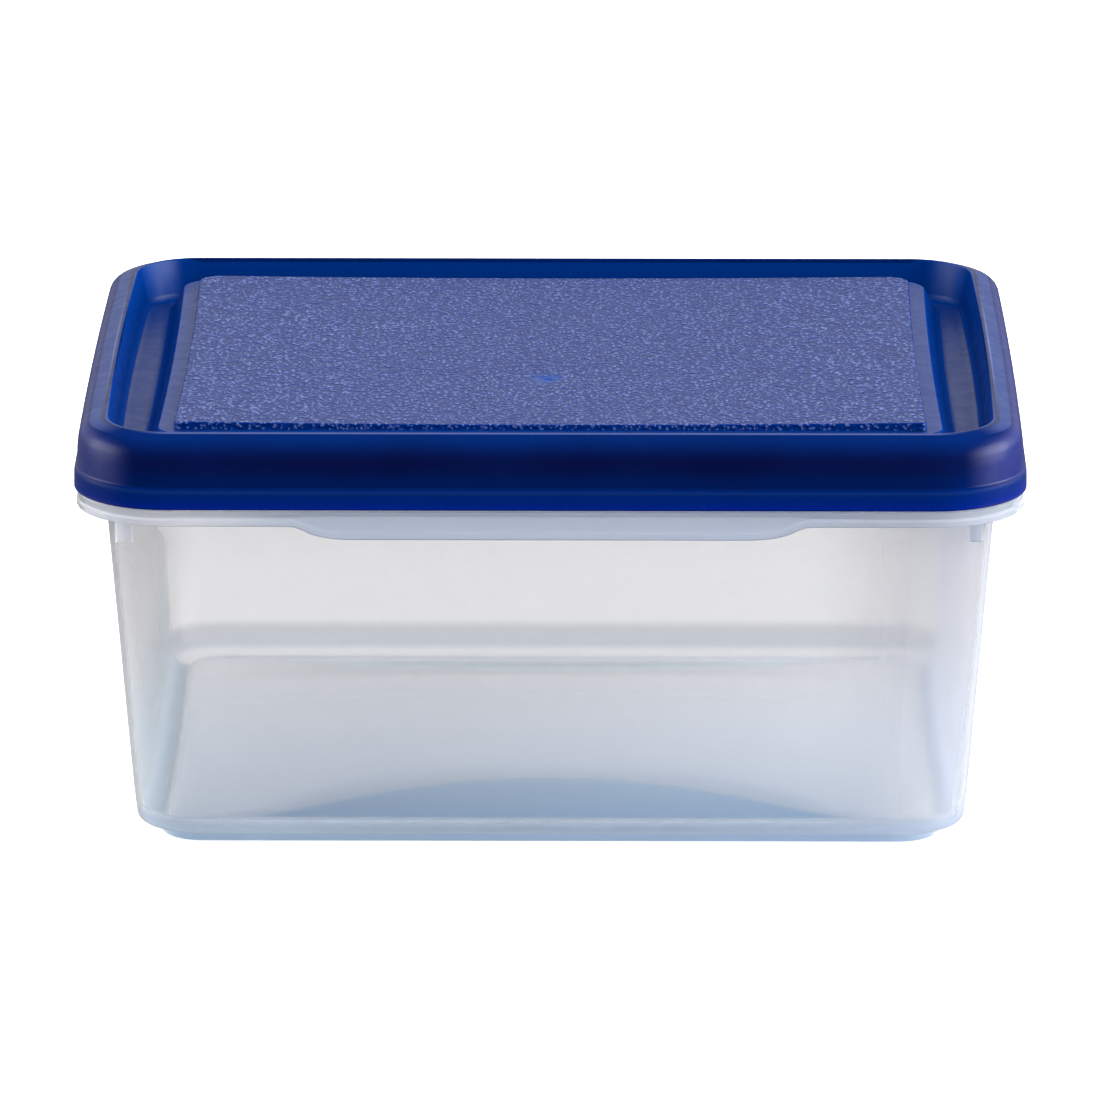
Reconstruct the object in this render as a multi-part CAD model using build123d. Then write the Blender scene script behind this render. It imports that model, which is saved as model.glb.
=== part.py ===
from build123d import *
import os

os.makedirs("parts", exist_ok=True)

# A rectangular food container: a see-through tub with a drafted wall, a turned-down flange,
# a domed floor and a foot ring, and a one-piece lid that presses over the tub's rim and snaps
# under a bead. Millimetres. X runs along the long side, the front is -Y, Z is up, and the
# origin is the middle of the footprint on the table.

# ---- driving dimensions ----
LID_WIDTH = 291.0
LID_DEPTH = 234.5
LID_CORNER = 29.0
RIDGE_TOP = 133.9          # highest point of the closed container
LID_BOTTOM = 112.0         # lower edge of the lid's skirt
LID_WALL = 1.8
CUT_PAST = 1.0             # how far a cutting solid runs past the face it opens

# Lid, outside. An inset is measured inward from the lid's largest outline.
BAND_TOP = 118.4           # top of the lower, wider band of the skirt
SKIRT_INSET = 1.0          # skirt just above that band
SHOULDER_INSET = 2.4       # skirt just below the shoulder
SHOULDER_Z = 130.6
BAND_EDGE_INSET = 3.6      # outer edge of the sloping rim
BAND_EDGE_Z = 131.8
RIDGE_OUTER_INSET = 9.3
RIDGE_INNER_INSET = 10.1

# Lid, moat between the rim and the raised middle
MOAT_FLOOR = 121.0
MOAT_INSET = 12.0
MOAT_TOP_INSET = 10.7

# Lid, raised middle: a smooth plinth with a grained pad on it
PLINTH_WIDTH = 237.0
PLINTH_DEPTH = 191.0
PLINTH_CORNER = 10.0
PLINTH_TOP = 129.9
PAD_WIDTH = 226.5
PAD_DEPTH = 181.0
PAD_CORNER = 7.0
PAD_TOP = 132.5
PLINTH_SPREAD = 4.4        # how far the plinth's wall leans out from its top to its foot
PAD_SPREAD = 0.5
DIMPLE_RADIUS = 2.5        # gate mark on the pad
DIMPLE_DEPTH = 0.6
DIMPLE_X = -1.0
DIMPLE_Y = -35.0

# Lid, underside
CHANNEL_TOP = 130.2        # roof of the channel that takes the tub's rim
PLUG_LOW_INSET = 9.9       # outer face of the plug that drops into the tub's mouth
PLUG_HIGH_INSET = 9.0

# Snap bead inside the lid's skirt
SNAP_INSET = 6.4
SNAP_BOTTOM = 121.2
SNAP_LOW = 122.2
SNAP_HIGH = 123.8
SNAP_TOP = 124.8

# Tub
TUB_WALL = 1.7
FLOOR_UNDERSIDE = 3.0
FLOOR_THICKNESS = 1.8
BOTTOM_INSET = 19.7        # front and rear walls at the underside of the floor
TOP_INSET = 9.9            # front and rear walls at the flange
BOTTOM_SIDE_INSET = 17.85  # side walls at the same two heights
TOP_SIDE_INSET = 9.15
BOTTOM_CORNER = 20.0
TOP_CORNER = 23.0
BOTTOM_FILLET = 2.5
INNER_FILLET = 6.0
FOOT_HALF_WIDTH = 119.8
FOOT_HALF_DEPTH = 94.0
FOOT_CORNER = 13.0
FOOT_WIDTH = 2.4
DOME_HALF_WIDTH = 116.0    # the middle of the floor domes up
DOME_HALF_DEPTH = 85.0
DOME_RISE = 8.5

# Tub rim
FLANGE_BOTTOM = 106.7
FLANGE_TOP = 111.4
FLANGE_INSET = 0.7
FLANGE_WALL = 1.6
COLLAR_LOW_INSET = 7.9
COLLAR_HIGH_INSET = 7.1
COLLAR_TOP = 130.0
BEAD_INSET = 5.9           # outer face of the bead that the lid snaps under
BEAD_BOTTOM = 125.0
BEAD_LOW = 126.2
BEAD_HIGH = 128.6

# Finger grips on the long sides, where the flange's skirt hangs lower
GRIP_BOTTOM = 102.6
GRIP_HALF_TOP = 76.0
GRIP_HALF_BOTTOM = 58.0
GRIP_END = 90.0
GRIP_ROUND = 60.0

# Small lugs under the flange at the four corners
LUG_X = 129.0
LUG_WIDTH = 4.3
LUG_BOTTOM = 99.7
LUG_OUTER_Y = 107.5
LUG_LENGTH = 10.0


def rounded(inset, corner=None, side_inset=None):
    """Width, depth and corner radius of the lid's outline moved inward by inset, or by
    side_inset at the two short sides."""
    radius = LID_CORNER - inset if corner is None else corner
    across = inset if side_inset is None else side_inset
    return (LID_WIDTH - 2 * across, LID_DEPTH - 2 * inset, radius)


def wall_outlines(thickness):
    """The tub wall's outline at the floor and at the flange, moved inward by thickness."""
    low = rounded(
        BOTTOM_INSET + thickness, BOTTOM_CORNER - thickness, BOTTOM_SIDE_INSET + thickness
    )
    high = rounded(TOP_INSET + thickness, TOP_CORNER - thickness, TOP_SIDE_INSET + thickness)
    return low, high


def stacked(*levels):
    """One solid through rounded rectangles, each given as (outline, height)."""
    sections = [Pos(0, 0, z) * RectangleRounded(*outline) for outline, z in levels]
    return loft(sections, ruled=True)


def raised(width, depth, corner, spread, bottom, top, shrink=0.0):
    """A raised step of the lid's middle, wider by spread at its foot than at its top."""
    growth = 2 * (spread - shrink)
    low = (width + growth, depth + growth, corner + spread)
    high = (width - 2 * shrink, depth - 2 * shrink, corner)
    return stacked((low, bottom), (high, top))


def make_lid():
    outside = stacked(
        (rounded(0), LID_BOTTOM),
        (rounded(0), BAND_TOP),
        (rounded(SKIRT_INSET), BAND_TOP + 0.3),
        (rounded(SHOULDER_INSET), SHOULDER_Z),
        (rounded(BAND_EDGE_INSET), BAND_EDGE_Z),
        (rounded(RIDGE_OUTER_INSET), RIDGE_TOP),
    )
    opening = stacked(
        (rounded(MOAT_INSET), MOAT_FLOOR),
        (rounded(MOAT_TOP_INSET), RIDGE_TOP - 0.8),
        (rounded(RIDGE_INNER_INSET), RIDGE_TOP + CUT_PAST),
    )
    plinth = raised(
        PLINTH_WIDTH, PLINTH_DEPTH, PLINTH_CORNER, PLINTH_SPREAD, MOAT_FLOOR - CUT_PAST, PLINTH_TOP
    )
    pad = raised(PAD_WIDTH, PAD_DEPTH, PAD_CORNER, PAD_SPREAD, PLINTH_TOP - CUT_PAST, PAD_TOP)

    moat_underside = MOAT_FLOOR - LID_WALL
    inside_skirt = stacked(
        (rounded(LID_WALL), LID_BOTTOM - CUT_PAST),
        (rounded(LID_WALL), BAND_TOP - LID_WALL / 2),
        (rounded(SKIRT_INSET + LID_WALL), BAND_TOP + 0.3),
        (rounded(SHOULDER_INSET + LID_WALL), CHANNEL_TOP),
    )
    plug = stacked(
        (rounded(PLUG_LOW_INSET), moat_underside),
        (rounded(PLUG_HIGH_INSET), CHANNEL_TOP + CUT_PAST),
    )
    under_plinth = raised(
        PLINTH_WIDTH, PLINTH_DEPTH, PLINTH_CORNER - LID_WALL, PLINTH_SPREAD,
        moat_underside - CUT_PAST, PLINTH_TOP - LID_WALL, LID_WALL,
    )
    under_pad = raised(
        PAD_WIDTH, PAD_DEPTH, PAD_CORNER - LID_WALL, PAD_SPREAD,
        PLINTH_TOP - LID_WALL - CUT_PAST, PAD_TOP - LID_WALL, LID_WALL,
    )
    lid = outside - (opening - plinth - pad) - (inside_skirt - plug) - under_plinth - under_pad
    ball = (DIMPLE_RADIUS**2 + DIMPLE_DEPTH**2) / (2 * DIMPLE_DEPTH)
    return lid - Pos(DIMPLE_X, DIMPLE_Y, PAD_TOP + ball - DIMPLE_DEPTH) * Sphere(ball)


def make_snap_bead(lid):
    skirt_overlap = SHOULDER_INSET - 0.4
    backing = stacked((rounded(skirt_overlap), SNAP_BOTTOM), (rounded(skirt_overlap), SNAP_TOP))
    bore = stacked(
        (rounded(SNAP_INSET - 2.4), SNAP_BOTTOM),
        (rounded(SNAP_INSET), SNAP_LOW),
        (rounded(SNAP_INSET), SNAP_HIGH),
        (rounded(SNAP_INSET - 2.4), SNAP_TOP),
    )
    return backing - bore - lid


def make_floor_dome(height, keep_above):
    """The part of a stretched ball that rises above the floor, its foot at the given height."""
    radius = (DOME_HALF_DEPTH**2 + DOME_RISE**2) / (2 * DOME_RISE)
    ball = scale(Sphere(radius), by=(DOME_HALF_WIDTH / DOME_HALF_DEPTH, 1, 1))
    ball = Pos(0, 0, height + DOME_RISE - radius) * ball
    window = Pos(0, 0, keep_above) * Box(
        3 * DOME_HALF_WIDTH, 3 * DOME_HALF_DEPTH, 4 * DOME_RISE,
        align=(Align.CENTER, Align.CENTER, Align.MIN),
    )
    return ball & window


def make_grip():
    """The lower part of the flange's skirt along the front, with the finger grip hanging from it."""
    half = [
        (GRIP_END, FLANGE_BOTTOM + 1.0),
        (GRIP_END, FLANGE_BOTTOM),
        (GRIP_HALF_TOP, FLANGE_BOTTOM),
        (GRIP_HALF_BOTTOM, GRIP_BOTTOM),
    ]
    mirrored = [(-x, z) for x, z in reversed(half)]
    profile = make_face(Polyline(*half, *mirrored, close=True))
    bends = [v for v in profile.vertices() if abs(v.X) < GRIP_END - 1]
    profile = fillet(bends, GRIP_ROUND)
    front = LID_DEPTH / 2 - FLANGE_INSET
    return extrude(Plane.XZ.offset(front - FLANGE_WALL) * profile, FLANGE_WALL)


def make_lugs():
    height = FLANGE_TOP - FLANGE_WALL / 2 - LUG_BOTTOM
    lug = Box(LUG_WIDTH, LUG_LENGTH, height, align=(Align.CENTER, Align.MIN, Align.MIN))
    lug = Pos(LUG_X, -LUG_OUTER_Y, LUG_BOTTOM) * lug
    lug += mirror(lug, Plane.YZ)
    return lug + mirror(lug, Plane.XZ)


def make_tub():
    low, high = wall_outlines(0)
    outside = stacked((low, FLOOR_UNDERSIDE), (high, FLANGE_TOP))
    outside = fillet(outside.faces().sort_by(Axis.Z)[0].edges(), BOTTOM_FILLET)
    low, high = wall_outlines(TUB_WALL)
    cavity = stacked((low, FLOOR_UNDERSIDE + FLOOR_THICKNESS), (high, FLANGE_TOP - FLANGE_WALL))
    cavity = fillet(cavity.faces().sort_by(Axis.Z)[0].edges(), INNER_FILLET)

    flange = stacked((rounded(FLANGE_INSET), FLANGE_BOTTOM), (rounded(FLANGE_INSET), FLANGE_TOP))
    skirt_inset = FLANGE_INSET + FLANGE_WALL
    flange -= stacked(
        (rounded(skirt_inset), FLANGE_BOTTOM - CUT_PAST),
        (rounded(skirt_inset), FLANGE_TOP - FLANGE_WALL),
    )
    collar = stacked(
        (rounded(COLLAR_LOW_INSET), FLANGE_TOP - FLANGE_WALL),
        (rounded(COLLAR_HIGH_INSET), COLLAR_TOP),
    )
    bead = stacked(
        (rounded(COLLAR_HIGH_INSET + 0.2), BEAD_BOTTOM),
        (rounded(BEAD_INSET), BEAD_LOW),
        (rounded(BEAD_INSET), BEAD_HIGH),
        (rounded(COLLAR_HIGH_INSET), COLLAR_TOP),
    )
    mouth = stacked(
        (rounded(COLLAR_LOW_INSET + TUB_WALL), FLANGE_TOP - FLANGE_WALL),
        (rounded(COLLAR_HIGH_INSET + TUB_WALL), COLLAR_TOP + CUT_PAST),
    )
    grip = make_grip()
    foot_outer = (2 * FOOT_HALF_WIDTH, 2 * FOOT_HALF_DEPTH, FOOT_CORNER)
    foot_inner = (
        2 * (FOOT_HALF_WIDTH - FOOT_WIDTH), 2 * (FOOT_HALF_DEPTH - FOOT_WIDTH), FOOT_CORNER - FOOT_WIDTH
    )
    foot = stacked((foot_outer, 0), (foot_outer, FLOOR_UNDERSIDE + 0.5))
    foot -= stacked((foot_inner, -CUT_PAST), (foot_inner, FLOOR_UNDERSIDE + CUT_PAST))

    tub = outside + flange + collar + bead + make_lugs() + grip + mirror(grip, Plane.XZ)
    tub = tub - cavity - mouth
    tub += make_floor_dome(FLOOR_UNDERSIDE + FLOOR_THICKNESS, FLOOR_UNDERSIDE + FLOOR_THICKNESS / 2)
    tub += foot
    return tub - make_floor_dome(FLOOR_UNDERSIDE, FLOOR_UNDERSIDE)


lid = make_lid()
nodes = {
    "tub": make_tub(),
    "lid": lid,
    "lid_snap_bead": make_snap_bead(lid),
}
for name, shape in nodes.items():
    print(name, "solids", len(shape.solids()), "volume", round(shape.volume))
    export_step(shape, f"parts/{name}.step")
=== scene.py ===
import bpy
import bmesh
import math
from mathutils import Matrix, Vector


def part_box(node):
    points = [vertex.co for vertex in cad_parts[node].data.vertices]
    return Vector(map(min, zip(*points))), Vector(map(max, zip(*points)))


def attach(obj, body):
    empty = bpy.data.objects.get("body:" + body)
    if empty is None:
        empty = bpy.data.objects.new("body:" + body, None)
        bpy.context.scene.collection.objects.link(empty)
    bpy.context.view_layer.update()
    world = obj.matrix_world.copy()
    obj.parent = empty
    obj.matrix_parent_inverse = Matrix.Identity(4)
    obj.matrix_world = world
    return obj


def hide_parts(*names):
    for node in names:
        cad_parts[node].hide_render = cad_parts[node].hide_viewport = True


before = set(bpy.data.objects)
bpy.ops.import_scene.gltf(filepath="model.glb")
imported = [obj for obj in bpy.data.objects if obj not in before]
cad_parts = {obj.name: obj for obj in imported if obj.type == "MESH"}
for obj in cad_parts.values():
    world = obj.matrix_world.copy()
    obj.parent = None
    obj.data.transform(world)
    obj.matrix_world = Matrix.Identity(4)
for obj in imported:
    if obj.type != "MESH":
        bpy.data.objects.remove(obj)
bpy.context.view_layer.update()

# Lengths below are in millimetres and become metres when a mesh is made. X runs along the
# long side, the front is -Y, and Z is up. Both mouldings are lofted through closed rings,
# each a rounded rectangle at one height, listed from one side of the wall to the other.
MM = 0.001
CORNER_STEPS = 14
LONG_STEPS = 96
SHORT_STEPS = 40

lid_low, lid_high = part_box("lid")
tub_low, tub_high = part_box("tub")
HALF_WIDTH = lid_high.x / MM
HALF_DEPTH = lid_high.y / MM
LID_BOTTOM = lid_low.z / MM
RIDGE_TOP = lid_high.z / MM
COLLAR_TOP = tub_high.z / MM
RIM_CORNER = 29.0          # plan radius of the lid's outer corners
RIM_BOW = 0.8              # how far the short sides swell between their corners


# ---------------------------------------------------------------- rings and profiles

def outline(half_width, half_depth, corner, bow, front_corner=None):
    """Plan points of a rounded rectangle. A positive bow lets the short sides swell between
    their corners by that much, and a negative one draws them in. The middle of each short
    side stays at half_width."""
    points = []
    front = corner if front_corner is None else front_corner
    radii = [front, corner, corner, front]
    middles = [
        (half_width - front, front - half_depth),
        (half_width - corner, half_depth - corner),
        (corner - half_width, half_depth - corner),
        (front - half_width, front - half_depth),
    ]
    for quarter, (mx, my) in enumerate(middles):
        radius, following = radii[quarter], radii[(quarter + 1) % 4]
        for step in range(CORNER_STEPS):
            angle = math.radians(90 * (quarter - 1 + step / CORNER_STEPS))
            points.append((mx + radius * math.cos(angle), my + radius * math.sin(angle)))
        steps = SHORT_STEPS if quarter % 2 == 0 else LONG_STEPS
        end = math.radians(90 * quarter)
        start_point = (mx + radius * math.cos(end), my + radius * math.sin(end))
        nx, ny = middles[(quarter + 1) % 4]
        end_point = (nx + following * math.cos(end), ny + following * math.sin(end))
        for step in range(steps):
            t = step / steps
            points.append(tuple(a + (b - a) * t for a, b in zip(start_point, end_point)))
    return [
        (x - bow * (x / half_width) * (y / half_depth) ** 2, y)
        for x, y in points
    ]


def rounded_profile(corners):
    """Rounds a chain of (inset, height, radius) corners and returns (inset, height) points. Two
    rounded corners share the straight between them; beside a sharp one a corner may use it all."""
    whole_side, half_side = 0.98, 0.49
    result = []
    for i, (x, z, radius) in enumerate(corners):
        if radius <= 0 or i in (0, len(corners) - 1):
            result.append((x, z))
            continue
        before, after = corners[i - 1], corners[i + 1]
        a = (before[0] - x, before[1] - z)
        b = (after[0] - x, after[1] - z)
        la, lb = math.hypot(*a), math.hypot(*b)
        a, b = (a[0] / la, a[1] / la), (b[0] / lb, b[1] / lb)
        between = math.acos(max(-1, min(1, a[0] * b[0] + a[1] * b[1])))
        sharp_before = i == 1 or corners[i - 1][2] <= 0
        sharp_after = i == len(corners) - 2 or corners[i + 1][2] <= 0
        room_before = la * (whole_side if sharp_before else half_side)
        room_after = lb * (whole_side if sharp_after else half_side)
        reach = min(radius / math.tan(between / 2), room_before, room_after)
        radius = reach * math.tan(between / 2)
        to_middle = math.hypot(reach, radius)
        half = (a[0] + b[0], a[1] + b[1])
        lh = math.hypot(*half)
        mx, mz = x + half[0] / lh * to_middle, z + half[1] / lh * to_middle
        start = math.atan2(z + a[1] * reach - mz, x + a[0] * reach - mx)
        turn = math.atan2(z + b[1] * reach - mz, x + b[0] * reach - mx) - start
        turn = (turn + math.pi) % (2 * math.pi) - math.pi
        steps = max(3, int(abs(turn) / math.radians(12)))
        for step in range(steps + 1):
            angle = start + turn * step / steps
            result.append((mx + radius * math.cos(angle), mz + radius * math.sin(angle)))
    return result


def rim_ring(inset, z):
    """A ring that follows the lid's outer edge, moved inward by inset."""
    corner = max(RIM_CORNER - inset, 6.0)
    bow = RIM_BOW + 0.07 * inset
    plan = outline(HALF_WIDTH - inset, HALF_DEPTH - inset, corner, bow)
    return [(x, y, z) for x, y in plan]


def middle_ring(inset, z):
    """A ring that follows the edge of the lid's raised plinth, moved inward by inset."""
    corner = max(10.0 - 0.55 * inset, 3.0)
    front_corner = 2.0 if inset >= PAD_INSET else corner
    half_width, half_depth = PLINTH_HALF_WIDTH - inset, PLINTH_HALF_DEPTH - inset
    plan = outline(half_width, half_depth, corner, PLINTH_BOW, front_corner)
    return [(x, y, z) for x, y in plan]


def lofted(name, rings):
    """A closed mesh through the rings, the first and last closed by a fan of triangles."""
    count = len(rings[0])
    points = [p for ring in rings for p in ring]
    faces = []
    for level in range(len(rings) - 1):
        low, high = level * count, (level + 1) * count
        for i in range(count):
            j = (i + 1) % count
            faces.append((low + i, low + j, high + j, high + i))
    for ring_start, flip in ((0, True), (len(points) - count, False)):
        ring = points[ring_start:ring_start + count]
        middle = tuple(sum(p[axis] for p in ring) / count for axis in range(3))
        points.append(middle)
        hub = len(points) - 1
        for i in range(count):
            j = (i + 1) % count
            a, b = ring_start + i, ring_start + j
            faces.append((b, a, hub) if flip else (a, b, hub))
    mesh = bpy.data.meshes.new(name)
    mesh.from_pydata([(x * MM, y * MM, z * MM) for x, y, z in points], [], faces)
    mesh.update()
    piece = bpy.data.objects.new(name, mesh)
    bpy.context.collection.objects.link(piece)
    return piece


def smooth(piece):
    """Smooth shading that keeps the large flat areas flat."""
    for face in piece.data.polygons:
        face.use_smooth = True
    weighted = piece.modifiers.new("weighted", "WEIGHTED_NORMAL")
    weighted.keep_sharp = True
    weighted.weight = 80


def inward_rings(edge, hub, radii, steps, height):
    """Rings from a closed edge to circles about hub, on the surface height(x, y)."""
    rings = []
    directions = [math.atan2(y - hub[1], x - hub[0]) for x, y, z in edge]
    for step in range(1, steps + 1):
        t = step / steps
        ring = []
        for (x, y, z), angle in zip(edge, directions):
            cx = hub[0] + radii[0] * math.cos(angle)
            cy = hub[1] + radii[0] * math.sin(angle)
            ring.append((x + (cx - x) * t, y + (cy - y) * t))
        rings.append([(x, y, height(x, y)) for x, y in ring])
    for radius in radii[1:]:
        ring = [(hub[0] + radius * math.cos(a), hub[1] + radius * math.sin(a)) for a in directions]
        rings.append([(x, y, height(x, y)) for x, y in ring])
    return rings


# ---------------------------------------------------------------- lid

PAD_TOP = 132.5
PLINTH_TOP = 129.9
PLINTH_HALF_WIDTH = 118.5
PLINTH_HALF_DEPTH = 95.5
PLINTH_BOW = -1.0
PAD_INSET = 5.0            # from the plinth's edge to the pad's
MOAT_FLOOR = 121.0
LID_WALL = 1.8
PAD_SAG = 0.8
GATE = (-1.0, -35.0)       # where the plastic entered the mould
GATE_RADII = (9.0, 7.5, 6.0, 4.8, 3.7, 2.7, 1.8, 1.1, 0.5)


def pad_height(x, y):
    """The pad sinks a little along its middle, with a small dimple at the gate."""
    sag = PAD_SAG * (1 - (x / 113) ** 2)
    distance = math.hypot(x - GATE[0], y - GATE[1])
    dimple = 0.55 * math.exp(-(distance / 2.6) ** 2) + 0.28 * math.exp(-(distance / 7.5) ** 2)
    return PAD_TOP - max(sag, 0) - dimple


def make_lid():
    """The lid, from the middle of its underside out to the lip, over the rim and in to the gate."""
    rim_outside = rounded_profile([
        (1.9, LID_BOTTOM + 0.3, 0),
        (1.6, LID_BOTTOM, 0.3),
        (0.0, LID_BOTTOM, 0.6),
        (0.1, 117.9, 1.6),
        (1.0, 118.8, 0.9),
        (1.1, 124.5, 0),
        (1.8, 131.5, 6.5),
        (9.1, RIDGE_TOP, 0.6),
        (10.1, RIDGE_TOP, 0.5),
        (12.4, MOAT_FLOOR, 3.6),
        (14.9, MOAT_FLOOR, 0),
    ])
    rings = [rim_ring(inset, z) for inset, z in rim_outside]
    raised = rounded_profile([
        (-6.9, MOAT_FLOOR, 0),
        (-4.4, MOAT_FLOOR, 4.0),
        (0.0, PLINTH_TOP, 1.1),
        (PAD_INSET, PLINTH_TOP, 0.15),
        (PAD_INSET + 0.25, PAD_TOP, 0.45),
        (PAD_INSET + 1.6, PAD_TOP, 0),
    ])
    for inset, z in raised:
        ring = middle_ring(inset, z)
        if inset > PAD_INSET:
            share = (z - PLINTH_TOP) / (PAD_TOP - PLINTH_TOP)
            ring = [(x, y, z - share * (PAD_TOP - pad_height(x, y))) for x, y, z in ring]
        rings.append(ring)
    rings += inward_rings(rings[-1], GATE, GATE_RADII, 22, pad_height)

    underside = rounded_profile([
        (1.9, LID_BOTTOM + 0.3, 0),
        (1.9, 117.4, 0.8),
        (2.8, 118.6, 0.8),
        (2.9, 121.0, 0.3),
        (6.4, 122.2, 0.6),
        (6.4, 123.8, 0.6),
        (3.3, 124.9, 0.3),
        (4.1, 130.2, 1.2),
        (8.9, 130.3, 1.0),
        (9.9, MOAT_FLOOR - LID_WALL, 2.0),
        (17.0, MOAT_FLOOR - LID_WALL, 0),
    ])
    below = [rim_ring(inset, z) for inset, z in underside[1:]]
    hollow = rounded_profile([
        (-4.0, MOAT_FLOOR - LID_WALL, 0),
        (0.8, MOAT_FLOOR - LID_WALL, 2.4),
        (1.9, PLINTH_TOP - LID_WALL, 0.8),
        (PAD_INSET + LID_WALL, PLINTH_TOP - LID_WALL, 0.3),
        (PAD_INSET + 2.0, PAD_TOP - LID_WALL, 0.5),
        (PAD_INSET + 4.0, PAD_TOP - LID_WALL, 0),
    ])
    ceiling = PAD_TOP - LID_WALL - PAD_SAG
    below += [middle_ring(inset, z) for inset, z in hollow]
    below += inward_rings(below[-1], (0, 0), (30.0, 8.0), 8, lambda x, y: ceiling)
    piece = lofted("lid_moulding", list(reversed(below)) + rings)
    smooth(piece)
    return piece


# ---------------------------------------------------------------- tub

FLANGE_TOP = 111.4
FLANGE_BOTTOM = 106.7
GRIP_DROP = 4.1
GRIP_HALF_BOTTOM = 58.0
GRIP_HALF_TOP = 78.0
TUB_WALL = 1.7
WALL_FOOT_INSET = 19.7     # of the wall's outer face from the lid's edge, at the bottom
WALL_HEAD_INSET = 9.9      # and at the top of the flange
WALL_FOOT_CORNER = 20.0
WALL_HEAD_CORNER = 23.0
FLOOR = 4.8
FLOOR_UNDERSIDE = 3.0
FLOOR_STEPS = 30
WALL_STEPS = 12
DOME_RISE = 8.5
DOME_HALF_WIDTH = 117.0
DOME_HALF_DEPTH = 86.0
FOOT_HALF_WIDTH = 119.8
FOOT_HALF_DEPTH = 94.0
FOOT_CORNER = 13.0
BOTTOM_WIDENING = 1.85     # the side walls stand this much wider than the front's inset
TOP_WIDENING = 0.75
WIDENED_PAST = 10.0        # rings further in than this belong to the wall
OUTER_FILLET = 2.5
INNER_FILLET = 6.0
LUG_X = 129.0
LUG_WIDTH = 4.3
LUG_BOTTOM = 99.7
LUG_TOP = 109.6
LUG_OUTER_Y = 107.3
LUG_DEPTH = 2.6


def tub_ring(inset, z, corner, bow=RIM_BOW, widening=0.0):
    """A ring inset from the lid's outer edge, with its short sides widening further out."""
    plan = outline(HALF_WIDTH - inset + widening, HALF_DEPTH - inset, corner, bow)
    return [(x, y, z) for x, y in plan]


def grip_share(x, y):
    """1 at the middle of the two long sides, 0 away from them, with an S-curve between."""
    if abs(y) < HALF_DEPTH - 12:
        return 0.0
    t = (GRIP_HALF_TOP - abs(x)) / (GRIP_HALF_TOP - GRIP_HALF_BOTTOM)
    t = max(0.0, min(1.0, t))
    return (1 - (1 - t) ** 2.6) * min(1.0, 0.35 + 2.2 * t) if t > 0 else 0.0


def hang(ring, amount=1.0):
    """Lowers a ring of the flange's skirt where the finger grips are."""
    return [(x, y, z - amount * GRIP_DROP * grip_share(x, y)) for x, y, z in ring]


def dome(x, y):
    """How far the floor rises at a point."""
    across = 1 - min(1.0, abs(x) / DOME_HALF_WIDTH) ** 2.6
    along = 1 - min(1.0, abs(y) / DOME_HALF_DEPTH) ** 2
    return DOME_RISE * across * along


def floor_rings(edge, level):
    """Rings from a floor's edge to its middle, on the dome."""
    rings = []
    for step in range(1, FLOOR_STEPS):
        share = 1 - step / FLOOR_STEPS
        points = [(x * share, y * share) for x, y, z in edge]
        rings.append([(x, y, level + dome(x, y)) for x, y in points])
    return rings


def foot_ring(inset, z):
    """A ring inset from the outer edge of the foot that the tub stands on."""
    plan = outline(FOOT_HALF_WIDTH - inset, FOOT_HALF_DEPTH - inset, FOOT_CORNER - inset, 0)
    return [(x, y, z) for x, y in plan]


def wall_ring(offset, z):
    """A ring on the drafted wall, offset inward from its outer face."""
    t = (z - FLOOR_UNDERSIDE) / (FLANGE_TOP - FLOOR_UNDERSIDE)
    widening = BOTTOM_WIDENING + (TOP_WIDENING - BOTTOM_WIDENING) * t
    corner = WALL_FOOT_CORNER + (WALL_HEAD_CORNER - WALL_FOOT_CORNER) * t - offset
    inset = WALL_FOOT_INSET + (WALL_HEAD_INSET - WALL_FOOT_INSET) * t + offset
    return tub_ring(inset, z, corner, 0.5 * max(t, 0), widening)


def fillet_rings(inset, corner, floor, radius, steps, squash=1.0):
    """Rings of the rounded edge between a floor and the wall, from the floor upward."""
    rings = []
    for step in range(steps + 1):
        angle = math.radians(90 * step / steps)
        inward = radius * (1 - math.sin(angle))
        height = floor + radius * (1 - math.cos(angle)) * squash
        rings.append(tub_ring(inset + inward, height, corner - 0.75 * inward, 0, BOTTOM_WIDENING))
    return rings


def rim_widening(inset):
    """The flange and the collar keep the rim's outline; what lies inside them is widened."""
    return TOP_WIDENING if inset > WIDENED_PAST else 0.0


def add_lugs(piece):
    """A small tab with eased edges under the flange at each of the four corners."""
    shape = bmesh.new()
    shape.from_mesh(piece.data)
    for side in (-1, 1):
        for end in (-1, 1):
            low = Vector((LUG_X - LUG_WIDTH / 2, LUG_OUTER_Y - LUG_DEPTH, LUG_BOTTOM)) * MM
            high = Vector((LUG_X + LUG_WIDTH / 2, LUG_OUTER_Y, LUG_TOP)) * MM
            tab = bmesh.ops.create_cube(shape, size=1.0)["verts"]
            for corner in tab:
                x, y, z = (l + (h - l) * (c + 0.5) for l, h, c in zip(low, high, corner.co))
                corner.co = Vector((side * x, end * y, z))
            edges = list({edge for corner in tab for edge in corner.link_edges})
            faces = list({face for corner in tab for face in corner.link_faces})
            if side * end < 0:
                bmesh.ops.reverse_faces(shape, faces=faces)
            bmesh.ops.bevel(shape, geom=edges, offset=0.5 * MM, segments=3, affect="EDGES")
    shape.to_mesh(piece.data)
    shape.free()


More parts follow.
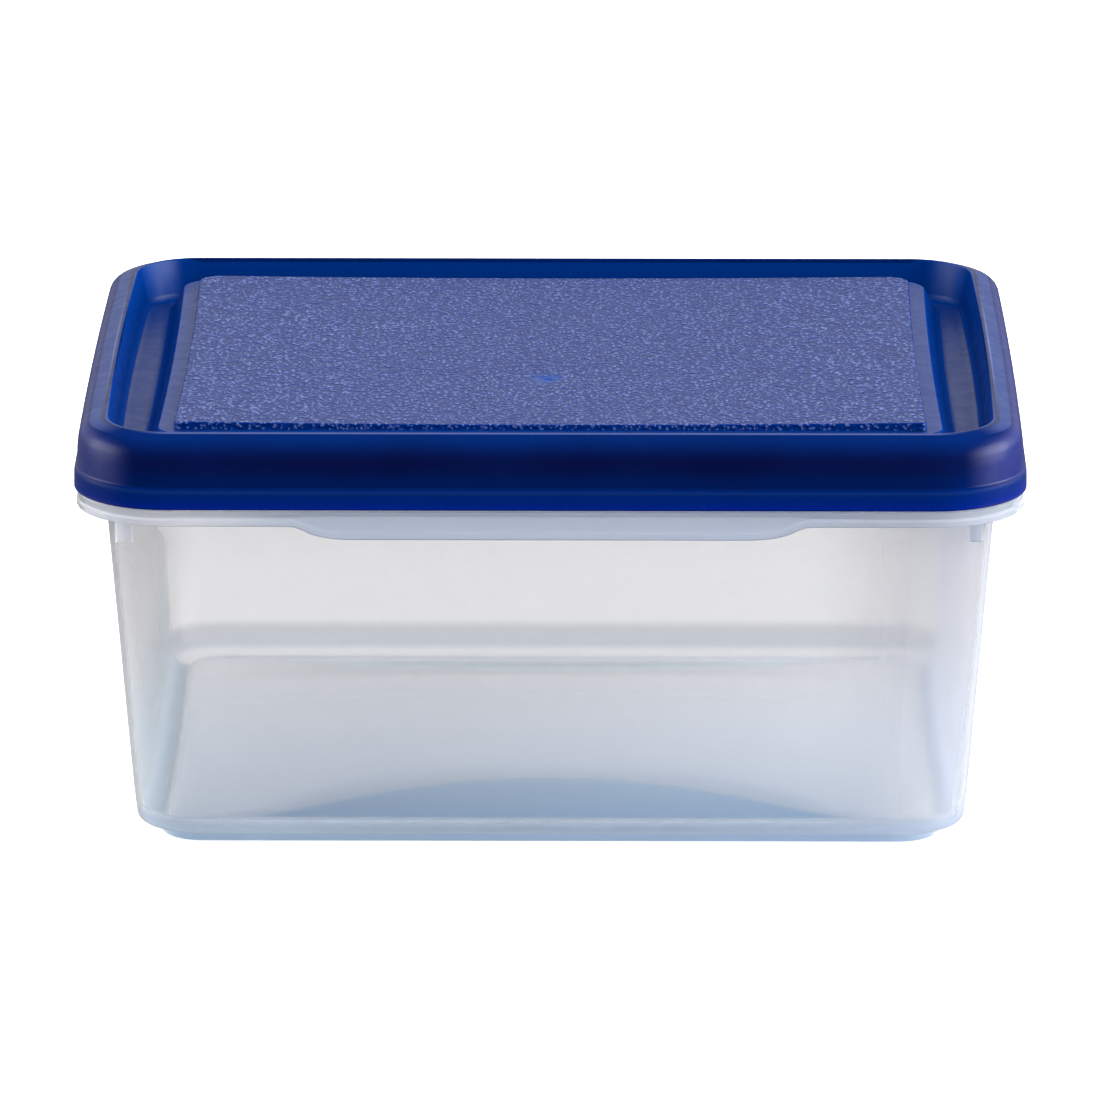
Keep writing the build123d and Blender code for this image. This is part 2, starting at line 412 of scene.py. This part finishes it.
def make_tub():
    """The tub, from the middle of its underside out and up, over the rim and down to its floor."""
    # underside, from the middle outward
    edge = foot_ring(3.0, FLOOR_UNDERSIDE)
    rings = list(reversed(floor_rings(edge, FLOOR_UNDERSIDE)))
    foot = rounded_profile([
        (3.0, FLOOR_UNDERSIDE, 0),
        (2.4, FLOOR_UNDERSIDE, 0.4),
        (2.3, 0.0, 0.6),
        (0.1, 0.0, 0.9),
        (0.0, FLOOR_UNDERSIDE, 0.4),
        (-1.0, FLOOR_UNDERSIDE, 0),
    ])
    rings += [foot_ring(inset, z) for inset, z in foot]
    # bottom edge, then up the outside of the wall
    rings += fillet_rings(WALL_FOOT_INSET, WALL_FOOT_CORNER, FLOOR_UNDERSIDE, OUTER_FILLET, 6)
    low, high = FLOOR_UNDERSIDE + OUTER_FILLET, 109.2
    for step in range(1, WALL_STEPS + 1):
        rings.append(wall_ring(0, low + (high - low) * step / WALL_STEPS))
    # flange: underside, inside of its skirt, lower edge, outside, top
    skirt = rounded_profile([
        (10.1, 109.3, 0),
        (9.2, 109.9, 0.7),
        (2.6, 109.9, 0.8),
        (2.3, FLANGE_BOTTOM, 0.4),
        (0.7, FLANGE_BOTTOM, 0.5),
        (0.7, 108.6, 0.4),
        (1.3, 109.2, 0.4),
        (1.1, FLANGE_TOP, 0.6),
        (7.2, FLANGE_TOP, 0.6),
        (7.2, 112.6, 0),
    ])
    for inset, z in skirt:
        corner = RIM_CORNER - inset if inset < 9 else 24.0
        ring = tub_ring(inset, z, corner, RIM_BOW, rim_widening(inset))
        if inset < 2.7:
            ring = hang(ring, max(0.0, min(1.0, (110.6 - z) / 1.6)))
        rings.append(ring)
    # collar, bead and mouth
    collar = rounded_profile([
        (7.3, 113.0, 0),
        (7.1, 125.0, 0.6),
        (5.9, 126.2, 0.5),
        (5.9, 128.8, 0.9),
        (7.3, COLLAR_TOP, 0.7),
        (8.7, COLLAR_TOP, 0.7),
        (9.5, 111.9, 0),
        (9.8, 110.8, 0.6),
        (11.5, 110.2, 0.6),
        (11.7, 108.5, 0),
    ])
    for inset, z in collar:
        corner = RIM_CORNER - inset + (0.0 if inset < WIDENED_PAST else 0.5)
        rings.append(tub_ring(inset, z, corner, RIM_BOW, rim_widening(inset)))
    # down the inside of the wall and across the floor
    low, high = FLOOR + INNER_FILLET + 1.0, 108.0
    for step in reversed(range(WALL_STEPS)):
        rings.append(wall_ring(TUB_WALL, low + (high - low) * step / WALL_STEPS))
    rings += reversed(fillet_rings(20.9, WALL_FOOT_CORNER - TUB_WALL, FLOOR, INNER_FILLET, 8, 0.9))
    edge = tub_ring(28.0, FLOOR, 12.6, 0, BOTTOM_WIDENING)
    rings.append(edge)
    rings += floor_rings(edge, FLOOR)
    piece = lofted("tub_moulding", rings)
    add_lugs(piece)
    smooth(piece)
    return piece


# ---------------------------------------------------------------- materials

class Graph:
    """A new material or world and short ways to add nodes to it."""

    def __init__(self, owner):
        owner.use_nodes = True
        self.nodes, self.links = owner.node_tree.nodes, owner.node_tree.links
        self.nodes.clear()

    def put(self, socket, value):
        if isinstance(value, bpy.types.NodeSocket):
            self.links.new(value, socket)
        else:
            socket.default_value = value

    def add(self, kind, **inputs):
        """A node of that kind with its inputs set; an underscore in a name is a space."""
        node = self.nodes.new(kind)
        for name, value in inputs.items():
            self.put(node.inputs[name.replace("_", " ")], value)
        return node

    def math(self, operation, *values):
        node = self.nodes.new("ShaderNodeMath")
        node.operation = operation
        for socket, value in zip(node.inputs, values):
            self.put(socket, value)
        return node.outputs[0]

    def product(self, first, *others):
        for other in others:
            first = self.math("MULTIPLY", first, other)
        return first

    def step(self, value, low, high, bottom=0.0, top=1.0):
        """Goes smoothly from bottom to top as value goes from low to high."""
        node = self.nodes.new("ShaderNodeMapRange")
        node.interpolation_type = "SMOOTHSTEP"
        self.put(node.inputs["Value"], value)
        self.put(node.inputs["From Min"], low)
        self.put(node.inputs["From Max"], high)
        self.put(node.inputs["To Min"], bottom)
        self.put(node.inputs["To Max"], top)
        return node.outputs[0]

    def blend(self, share, first, second):
        """A colour between two others."""
        node = self.nodes.new("ShaderNodeMix")
        node.data_type = "RGBA"
        self.put(node.inputs[0], share)
        self.put(node.inputs[6], first)
        self.put(node.inputs[7], second)
        return node.outputs[2]

    def mix(self, share, first, second):
        """A shader between two others."""
        node = self.nodes.new("ShaderNodeMixShader")
        self.put(node.inputs[0], share)
        self.put(node.inputs[1], first)
        self.put(node.inputs[2], second)
        return node.outputs[0]

    def place(self):
        """The object's own coordinates, as (vector, x, y, z)."""
        vector = self.nodes.new("ShaderNodeTexCoord").outputs["Object"]
        split = self.add("ShaderNodeSeparateXYZ", Vector=vector)
        return (vector, *split.outputs)

    def reach(self, side, end, half_width, half_depth):
        """How far a point lies beyond a rectangle about the origin, rounding its corners."""
        across = self.math("MAXIMUM", self.math("SUBTRACT", side, half_width), 0.0)
        along = self.math("MAXIMUM", self.math("SUBTRACT", end, half_depth), 0.0)
        squares = self.math("ADD", self.math("POWER", across, 2.0), self.math("POWER", along, 2.0))
        return self.math("SQRT", squares)

    def inverse(self, share):
        return self.math("SUBTRACT", 1.0, share)

    def turned(self):
        """The parts of the surface's direction along x, y and z, towards the side it is seen from."""
        normal = self.nodes.new("ShaderNodeNewGeometry").outputs["Normal"]
        return self.add("ShaderNodeSeparateXYZ", Vector=normal).outputs

    def noise(self, vector, scale, detail=2.0):
        return self.add("ShaderNodeTexNoise", Vector=vector, Scale=scale, Detail=detail).outputs[0]

    def finish(self, shader, kind="ShaderNodeOutputMaterial"):
        self.links.new(shader, self.nodes.new(kind).inputs["Surface"])


# The rectangle through the centres of the rim's corners, in metres as the materials use them.
RIM_CORE = ((HALF_WIDTH - RIM_CORNER) * MM, (HALF_DEPTH - RIM_CORNER) * MM)


def leather_grain(graph, vector):
    """Rounded cells, a little longer front to back and drawn into swirls. Returns the distance
    from the middle of a cell, and the height of the grain."""
    drift = graph.add("ShaderNodeTexNoise", Vector=vector, Scale=45.0, Detail=1.0).outputs[1]
    push = graph.nodes.new("ShaderNodeVectorMath")
    push.operation = "MULTIPLY_ADD"
    graph.put(push.inputs[0], drift)
    graph.put(push.inputs[1], (0.006, 0.006, 0.0))
    graph.put(push.inputs[2], vector)
    stretch = graph.add("ShaderNodeMapping", Vector=push.outputs[0], Scale=(1.0, 0.66, 1.0))
    cells = graph.add("ShaderNodeTexVoronoi", Vector=stretch.outputs[0], Scale=900.0)
    cells.feature = "SMOOTH_F1"
    distance = cells.outputs["Distance"]
    return distance, graph.math("MULTIPLY_ADD", graph.noise(vector, 1500.0), 0.25, distance)


def skirt_colour_with_painted_light(graph, z, in_moat):
    """Painted shade and light on the skirt. It is painted darkest a third of the way down, a painted
    shade. The thin band at its foot is painted a brighter blue for the light that passes through it,
    with a painted highlight along the lip above it, and inside the moat it is painted a clearer blue
    for light bounced between the moat's walls."""
    skirt_foot = (0.0, 0.0090, 0.082, 1)
    skirt_middle_painted_shade = (0.002, 0.0044, 0.046, 1)
    skirt_head = (0.0, 0.0095, 0.078, 1)
    band_top_painted_light = (0.0, 0.0150, 0.155, 1)
    band_bottom_painted_light = (0.001, 0.0135, 0.215, 1)
    # Painted shade: the skirt is painted darkest a third of the way down.
    colour = graph.blend(graph.step(z, 0.1190, 0.1265), skirt_foot, skirt_middle_painted_shade)
    colour = graph.blend(graph.step(z, 0.1270, 0.1335), colour, skirt_head)
    # Painted light: the thin band at the foot is painted a brighter blue for light passing through it.
    band = graph.blend(graph.step(z, 0.1152, 0.1128), band_top_painted_light, band_bottom_painted_light)
    colour = graph.blend(graph.step(z, 0.1186, 0.1172), colour, band)
    # Painted highlight: a paler line along the lip above the band.
    lip = graph.product(graph.step(z, 0.1166, 0.1171), graph.step(z, 0.1182, 0.1177))
    colour = graph.blend(lip, colour, (0.003, 0.021, 0.135, 1))
    # Painted light: inside the moat the plastic is painted a clearer blue for light bounced between its
    # walls.
    return graph.blend(in_moat, colour, (0.0, 0.024, 0.165, 1))


def pad_colour_with_painted_highlights(graph, x, y, cell_distance):
    """Darker plastic with the middles of the grain's cells painted paler, painted highlights, and a
    smooth, bluer spot at the gate, a painted sheen.
    """
    # Painted highlights: the middles of the grain's cells are painted paler.
    crown_highlight = graph.step(cell_distance, 0.42, 0.12)
    grain_with_highlights = graph.blend(crown_highlight, (0.0, 0.018, 0.145, 1), (0.085, 0.130, 0.345, 1))
    # Painted sheen: a smooth, bluer spot is painted at the gate.
    gate_side = graph.math("ABSOLUTE", graph.math("SUBTRACT", x, GATE[0] * MM))
    gate_end = graph.math("ABSOLUTE", graph.math("SUBTRACT", y, GATE[1] * MM))
    gate = graph.step(graph.reach(gate_side, gate_end, 0.0, 0.0), 0.0075, 0.0010, 0.0, 0.80)
    return graph.blend(gate, grain_with_highlights, (0.0, 0.045, 0.27, 1))


def lid_material():
    """Navy plastic: a satin skirt with painted shade down its middle and painted light in the brighter
    band at its foot, and leather grain on the pad with painted highlights.
    """
    material = bpy.data.materials.new("navy_polyethylene")
    graph = Graph(material)
    vector, x, y, z = graph.place()
    side = graph.math("ABSOLUTE", x)
    end = graph.math("ABSOLUTE", y)
    beyond = graph.reach(side, end, *RIM_CORE)
    outer = graph.step(beyond, 0.0195, 0.0205)
    in_moat = graph.math("LESS_THAN", beyond, 0.0187)

    # The pad is everything above the plinth and inside the pad's edge.
    within_side = graph.math("LESS_THAN", side, 0.1138)
    within_end = graph.math("LESS_THAN", end, 0.0910)
    on_pad = graph.product(graph.step(z, 0.1300, 0.1304), within_side, within_end)

    # Leather grain on the pad, and a very fine orange peel everywhere.
    cell_distance, grain = leather_grain(graph, vector)
    grain_bump = graph.add("ShaderNodeBump", Height=grain, Distance=-0.0007, Strength=on_pad)
    peel = graph.noise(vector, 900.0)
    peel_bump = graph.add("ShaderNodeBump", Height=peel, Distance=0.00002, Normal=grain_bump.outputs[0])

    colour = skirt_colour_with_painted_light(graph, z, in_moat)
    colour = graph.blend(on_pad, colour, pad_colour_with_painted_highlights(graph, x, y, cell_distance))
    mottle = graph.step(graph.noise(vector, 30.0), 0.3, 0.7, 0.0, 0.12)
    colour = graph.blend(mottle, colour, (0.0, 0.022, 0.18, 1))

    # The level tops, the rim's outer corners and the rear corners inside the moat shine more than the
    # skirt does. They are also painted a clearer blue: painted light on the rim's level top and outer
    # corners, and a painted highlight in the moat's rear corners and along the rim's ridge top.
    sideways, ahead, upward = graph.turned()
    across = graph.math("ABSOLUTE", sideways)
    level = graph.product(graph.step(upward, 0.86, 0.95), graph.step(ahead, -0.24, -0.10))
    above_band = graph.step(z, 0.1176, 0.1190)
    below_band = graph.step(z, 0.1134, 0.1124, 0.15, 0.8)
    off_band = graph.math("MAXIMUM", above_band, below_band)
    corner = graph.product(outer, graph.step(across, 0.30, 0.75), off_band)
    hollow = graph.product(in_moat, graph.step(ahead, -0.25, -0.55))
    hollow = graph.product(hollow, graph.step(across, 0.25, 0.55, 0.0, 0.6))
    below_rim = graph.product(in_moat, graph.step(z, 0.1255, 0.1235))
    shine = graph.product(level, graph.math("MULTIPLY_ADD", below_rim, -0.4, 1.0))
    shine = graph.math("MAXIMUM", shine, graph.math("MAXIMUM", corner, hollow))
    shine = graph.math("MULTIPLY_ADD", shine, 0.60, 0.005)
    # Painted light: the rim's level top and its outer corners are painted a clearer blue.
    colour = graph.blend(graph.product(level, outer), colour, (0.0, 0.024, 0.165, 1))
    colour = graph.blend(corner, colour, (0.0, 0.010, 0.150, 1))
    # Painted highlight: the moat's rear corners are painted a brighter blue.
    colour = graph.blend(hollow, colour, (0.0, 0.045, 0.270, 1))
    # Painted highlight: a pale line along the rim's ridge top.
    crest_highlight = graph.product(outer, graph.step(z, 0.13365, 0.13385))
    colour = graph.blend(crest_highlight, colour, (0.085, 0.115, 0.30, 1))
    rough = graph.step(graph.noise(vector, 220.0), 0.3, 0.7, 0.30, 0.38)
    plastic = graph.add("ShaderNodeBsdfPrincipled", Base_Color=colour, Roughness=rough, IOR=1.5)
    graph.put(plastic.inputs["Specular IOR Level"], shine)
    graph.put(plastic.inputs["Normal"], peel_bump.outputs[0])
    graph.finish(plastic.outputs[0])
    return material


def tub_zones(graph, x, y, z):
    """Where the parts of the tub are, as shares from 0 to 1."""
    side = graph.math("ABSOLUTE", x)
    end = graph.math("ABSOLUTE", y)
    outside_wall = graph.step(graph.reach(side, end, *RIM_CORE), 0.0195, 0.0203)
    past_floor = graph.step(graph.reach(side, end, 0.1068, 0.076), 0.011, 0.015)
    floor = graph.product(graph.step(z, 0.0145, 0.0140), graph.step(end, 0.089, 0.086))
    floor = graph.product(floor, graph.step(side, 0.1200, 0.1170))
    # The steep front and rear of the dome, below an arched line that sinks towards its ends. The tub's
    # material paints a blue reflection there.
    arch_width, arch_depth, dome_edge = 0.091, 0.029, 0.086
    off_middle = graph.math("POWER", graph.math("DIVIDE", side, arch_width), 2.0)
    arch_line = graph.math("MULTIPLY_ADD", off_middle, -arch_depth, arch_depth)
    painted_reflection_arch = graph.math("ADD", graph.math("SUBTRACT", end, dome_edge), arch_line)
    painted_reflection_arch = graph.product(graph.step(painted_reflection_arch, 0.0, 0.0006), graph.step(end, 0.0870, 0.0862), floor)
    return {
        "flange": graph.product(outside_wall, graph.step(z, 0.1122, 0.1116)),
        "bottom_edge": graph.product(past_floor, graph.step(z, 0.010, 0.005)),
        "floor": floor,
        "rear_floor": graph.product(floor, graph.step(y, -0.07, 0.09)),
        "painted_reflection_arch": painted_reflection_arch,
        "flange_ends": graph.step(side, 0.07, 0.11),
        "right": graph.step(x, -0.1, 0.1),
        "low": graph.step(z, 0.080, 0.030),
    }


def side_cloud(graph, x, y, slant, ahead):
    """How cloudy the walls look where they are seen nearly edge on, and the front near its ends."""
    right_end = graph.step(x, 0.075, 0.130, 0.0, 0.48)
    left_end = graph.step(x, -0.105, -0.126, 0.0, 0.30)
    cloud = graph.product(graph.math("ADD", right_end, left_end), graph.step(y, 0.0, -0.07))
    cloud = graph.product(cloud, graph.step(graph.math("ABSOLUTE", ahead), 0.20, 0.95))
    return graph.math("MAXIMUM", graph.step(slant, 0.50, 0.72), cloud)


def tub_material():
    """Milky see-through plastic: clear plastic mixed with a cloudy one by zone."""
    material = bpy.data.materials.new("milky_polypropylene")
    graph = Graph(material)
    x, y, z = graph.place()[1:]
    zones = tub_zones(graph, x, y, z)
    right, floor = zones["right"], zones["floor"]
    slant = graph.nodes.new("ShaderNodeLayerWeight").outputs["Facing"]
    sideways, ahead = graph.turned()[:2]
    edge_on = side_cloud(graph, x, y, slant, ahead)

    # Warm and a little dull near the top, cooler and clearer towards the base.
    tint_with_painted_reflection = graph.blend(zones["low"], (0.945, 0.932, 0.925, 1), (0.960, 0.967, 0.98, 1))
    tint_with_painted_reflection = graph.blend(zones["flange"], tint_with_painted_reflection, (0.93, 0.95, 0.98, 1))
    # Painted reflection: the arched zone of the dome is tinted blue.
    tint_with_painted_reflection = graph.blend(zones["painted_reflection_arch"], tint_with_painted_reflection, (0.80, 0.92, 1.0, 1))
    clear = graph.add("ShaderNodeBsdfPrincipled", Base_Color=tint_with_painted_reflection, Roughness=0.05, IOR=1.49)
    graph.put(clear.inputs["Transmission Weight"], 1.0)

    # The cloudy colour in it, by zone, and on the walls seen edge on by side, with painted light and
    # shade.
    milk_and_painted_light = graph.blend(zones["low"], (0.68, 0.655, 0.645, 1), (0.70, 0.73, 0.78, 1))
    # Painted shade and a painted reflection of the lid make the flange's cloudy colour bluer and darker
    # between its ends; painted light makes its left end paler.
    flange_end = graph.blend(right, (0.92, 0.93, 0.98, 1), (0.66, 0.70, 0.77, 1))
    flange_milk_and_painted_light = graph.blend(zones["flange_ends"], (0.62, 0.69, 0.82, 1), flange_end)
    milk_and_painted_light = graph.blend(zones["flange"], milk_and_painted_light, flange_milk_and_painted_light)
    milk_and_painted_light = graph.blend(zones["bottom_edge"], milk_and_painted_light, (0.72, 0.81, 0.91, 1))
    milk_and_painted_light = graph.blend(floor, milk_and_painted_light, (0.92, 0.93, 0.95, 1))
    # Painted shade: the left wall's inner face is painted darker towards the base.
    near_base = graph.step(z, 0.055, 0.020)
    left_inner = graph.blend(near_base, (0.83, 0.83, 0.83, 1), (0.60, 0.67, 0.71, 1))
    inner_milk_and_painted_light = graph.blend(right, left_inner, (0.64, 0.67, 0.76, 1))
    grazing = graph.step(slant, 0.76, 0.94)
    # Painted light and shade: the right wall's outer face is painted paler than the left's, and darker
    # where it is seen most edge on.
    right_outer = graph.blend(grazing, (0.73, 0.76, 0.83, 1), (0.56, 0.58, 0.67, 1))
    outer_milk_and_painted_light = graph.blend(right, (0.60, 0.61, 0.62, 1), right_outer)
    outward = graph.math("GREATER_THAN", graph.product(sideways, x), 0.0)
    edge_milk_and_painted_light = graph.blend(outward, inner_milk_and_painted_light, outer_milk_and_painted_light)
    milk_and_painted_light = graph.blend(graph.product(edge_on, graph.inverse(floor)), milk_and_painted_light, edge_milk_and_painted_light)
    haze = graph.add("ShaderNodeBsdfTranslucent", Color=milk_and_painted_light)
    skin = graph.add("ShaderNodeBsdfDiffuse", Color=milk_and_painted_light)
    skin_share = graph.math("MULTIPLY_ADD", zones["bottom_edge"], -0.2, 0.35)
    skin_share = graph.math("MAXIMUM", floor, skin_share)
    cloudy = graph.mix(skin_share, haze.outputs[0], skin.outputs[0])

    # How much of it there is. The floor is milkier at the rear, and the arched zone with the painted
    # blue reflection is clear.
    share = graph.math("ADD", graph.step(z, 0.015, 0.060, 0.08, 0.16), graph.product(edge_on, 0.75))
    share = graph.product(share, graph.inverse(floor))
    amounts = {"flange": 0.34, "bottom_edge": 0.78, "floor": 0.15, "rear_floor": 0.10}
    for zone, amount in amounts.items():
        share = graph.math("ADD", share, graph.product(zones[zone], amount))
    share = graph.product(graph.math("MINIMUM", share, 1.0), graph.inverse(zones["painted_reflection_arch"]))
    body = graph.mix(share, clear.outputs[0], cloudy)

    # Seen from inside the tub, the rounded edge between the rear wall and the floor bends what is
    # behind it only a little, and a painted shade dims it just above the floor.
    from_inside = graph.math("LESS_THAN", ahead, 0.0)
    rear_edge = graph.product(graph.step(y, 0.076, 0.084), graph.step(z, 0.0155, 0.0115, 0.0, 0.85))
    at_floor, shaded_above_floor = (0.93, 0.93, 0.94, 1), (0.725, 0.755, 0.795, 1)
    rear_tint_painted_shade = graph.blend(graph.step(z, 0.0052, 0.0066), at_floor, shaded_above_floor)
    straight = graph.add("ShaderNodeBsdfTransparent", Color=rear_tint_painted_shade)
    body = graph.mix(graph.product(rear_edge, from_inside), body, straight.outputs[0])

    # Lamps shine through it, so that what stands inside and under it is lit.
    lamps = graph.nodes.new("ShaderNodeLightPath").outputs["Is Shadow Ray"]
    open_to_lamps = graph.add("ShaderNodeBsdfTransparent", Color=(0.9, 0.92, 0.94, 1))
    graph.finish(graph.mix(lamps, body, open_to_lamps.outputs[0]))
    return material


# ---------------------------------------------------------------- stage

def make_floor():
    """A pale table. Mirror and diffuse rays see it dimmer, as if it were a small one, and rays through
    the tub see it with a set brightness, which keeps the plastic free of noise and carries a painted
    shadow of the lid."""
    half_size = 6.0
    corners = [(x * half_size, y * half_size, 0) for x, y in ((-1, -1), (1, -1), (1, 1), (-1, 1))]
    mesh = bpy.data.meshes.new("floor")
    mesh.from_pydata(corners, [], [(0, 1, 2, 3)])
    floor = bpy.data.objects.new("floor", mesh)
    bpy.context.collection.objects.link(floor)
    material = bpy.data.materials.new("pale_floor")
    graph = Graph(material)
    paint = graph.add("ShaderNodeBsdfPrincipled", Base_Color=(0.92, 0.92, 0.92, 1), Roughness=0.8)
    graph.put(paint.inputs["Specular IOR Level"], 0.1)
    graph.put(paint.inputs["Emission Color"], (1, 1, 1, 1))
    graph.put(paint.inputs["Emission Strength"], 0.35)
    x, y = graph.place()[1:3]
    side = graph.math("ABSOLUTE", x)
    end = graph.math("ABSOLUTE", y)
    nearby = graph.step(graph.reach(side, end, 0.14, 0.11), 0.05, 0.25, 0.46, 0.22)
    dim = graph.add("ShaderNodeEmission", Color=(1, 1, 1, 1), Strength=nearby)
    # Through the tub the table is painted brighter on the right, painted light. Under the tub a painted
    # shadow of the lid makes it darkest and bluest towards the front.
    under = graph.product(graph.step(x, 0.130, 0.096), graph.step(x, -0.128, -0.112))
    under = graph.product(under, graph.step(end, 0.101, 0.091))
    depth = graph.add("ShaderNodeMapRange", Value=y, From_Min=-0.090, From_Max=0.095).outputs[0]
    shade = graph.blend(depth, (0.165, 0.275, 0.42, 1), (0.84, 0.845, 0.865, 1))
    shade = graph.blend(graph.step(y, 0.070, 0.088), shade, (1.10, 1.09, 1.08, 1))
    open_strength = graph.step(x, -0.15, 0.15, 1.05, 1.09)
    shaded_strength = graph.step(x, -0.08, 0.14, 1.02, 1.50)
    strength = graph.add("ShaderNodeMix", Factor=under, A=open_strength, B=shaded_strength).outputs[0]
    colour = graph.blend(under, (1, 1, 1, 1), shade)
    through = graph.add("ShaderNodeEmission", Color=colour, Strength=strength)
    path = graph.nodes.new("ShaderNodeLightPath")
    mixed = graph.mix(path.outputs["Is Camera Ray"], dim.outputs[0], paint.outputs[0])
    graph.finish(graph.mix(path.outputs["Is Transmission Ray"], mixed, through.outputs[0]))
    mesh.materials.append(material)


def make_world():
    """White behind the object. Reflections see a white backdrop behind it, grey walls to the
    sides and a dim room in front and overhead; diffuse surfaces are lit mostly from above and
    behind."""
    world = bpy.data.worlds.new("studio")
    bpy.context.scene.world = world
    graph = Graph(world)
    direction = graph.nodes.new("ShaderNodeTexCoord").outputs["Generated"]
    x, y, z = graph.add("ShaderNodeSeparateXYZ", Vector=direction).outputs
    backdrop = graph.product(graph.step(y, -0.1, 0.5), graph.step(z, 0.48, 0.66, 0.62, 0.0))
    right_wall = graph.step(x, 0.50, 0.92, 0.0, 1.30)
    left_wall = graph.step(x, -0.50, -0.92, 0.0, 0.50)
    walls = graph.math("MAXIMUM", right_wall, left_wall)
    walls = graph.product(walls, graph.step(z, 0.55, 0.75, 1.0, 0.0))
    mirrored = graph.math("ADD", graph.math("MAXIMUM", backdrop, walls), 0.02)
    front = graph.product(graph.step(y, 0.1, -0.6), graph.step(z, 0.3, 0.85, 2.15, 0.0))
    behind = graph.product(graph.step(y, 0.1, 0.7), graph.step(z, 0.75, 0.35, 0.0, 1.6))
    from_right = graph.math("MAXIMUM", graph.product(x, 3.0), 0.0)
    lighting = graph.math("SUBTRACT", 2.3, front)
    lighting = graph.math("ADD", lighting, graph.math("ADD", behind, from_right))
    lighting = graph.math("MAXIMUM", lighting, 0.0)

    def sky(strength):
        return graph.add("ShaderNodeBackground", Strength=strength).outputs[0]

    path = graph.nodes.new("ShaderNodeLightPath")
    shade = graph.mix(path.outputs["Is Glossy Ray"], sky(1.0), sky(mirrored))
    shade = graph.mix(path.outputs["Is Transmission Ray"], shade, sky(1.0))
    shade = graph.mix(path.outputs["Is Diffuse Ray"], shade, sky(lighting))
    graph.finish(shade, "ShaderNodeOutputWorld")
    world.cycles.sampling_method = "NONE"


def make_softbox(name, place, size, radiance):
    """A rectangular lamp that faces the middle of the object."""
    data = bpy.data.lights.new(name, "AREA")
    data.shape = "RECTANGLE"
    data.size, data.size_y = size
    data.energy = radiance * math.pi * size[0] * size[1]
    lamp = bpy.data.objects.new(name, data)
    bpy.context.collection.objects.link(lamp)
    lamp.location = place
    aim = Vector((0, 0, 0.09)) - Vector(place)
    lamp.rotation_euler = aim.to_track_quat("-Z", "Y").to_euler()
    lamp.visible_camera = False


def make_camera():
    """The viewpoint: raised 16 degrees, a long lens, nearly square on to the front."""
    elevation, turn = math.radians(16.0), math.radians(0.4)
    distance = 2.8337
    target = (-0.0007, 0.0, 0.0663)
    back = (
        math.sin(turn) * math.cos(elevation),
        -math.cos(turn) * math.cos(elevation),
        math.sin(elevation),
    )
    data = bpy.data.cameras.new("camera")
    data.sensor_width = 36.0
    data.lens = 294.2
    data.clip_start = 0.1
    data.clip_end = 50.0
    camera = bpy.data.objects.new("camera", data)
    bpy.context.collection.objects.link(camera)
    camera.location = [t + b * distance for t, b in zip(target, back)]
    camera.rotation_euler = (math.pi / 2 - elevation, 0, turn)
    bpy.context.scene.camera = camera


bpy.context.scene.view_settings.view_transform = "Standard"

lid = make_lid()
lid.data.materials.append(lid_material())
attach(lid, "lid")
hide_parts("lid", "lid_snap_bead")

tub = make_tub()
tub.data.materials.append(tub_material())
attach(tub, "tub")
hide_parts("tub")

make_floor()
make_world()
make_softbox("softbox_right", (1.15, -0.35, 0.42), (1.4, 1.0), 2.9)
make_softbox("softbox_left", (-1.2, -0.1, 0.40), (1.1, 0.9), 1.8)
make_camera()
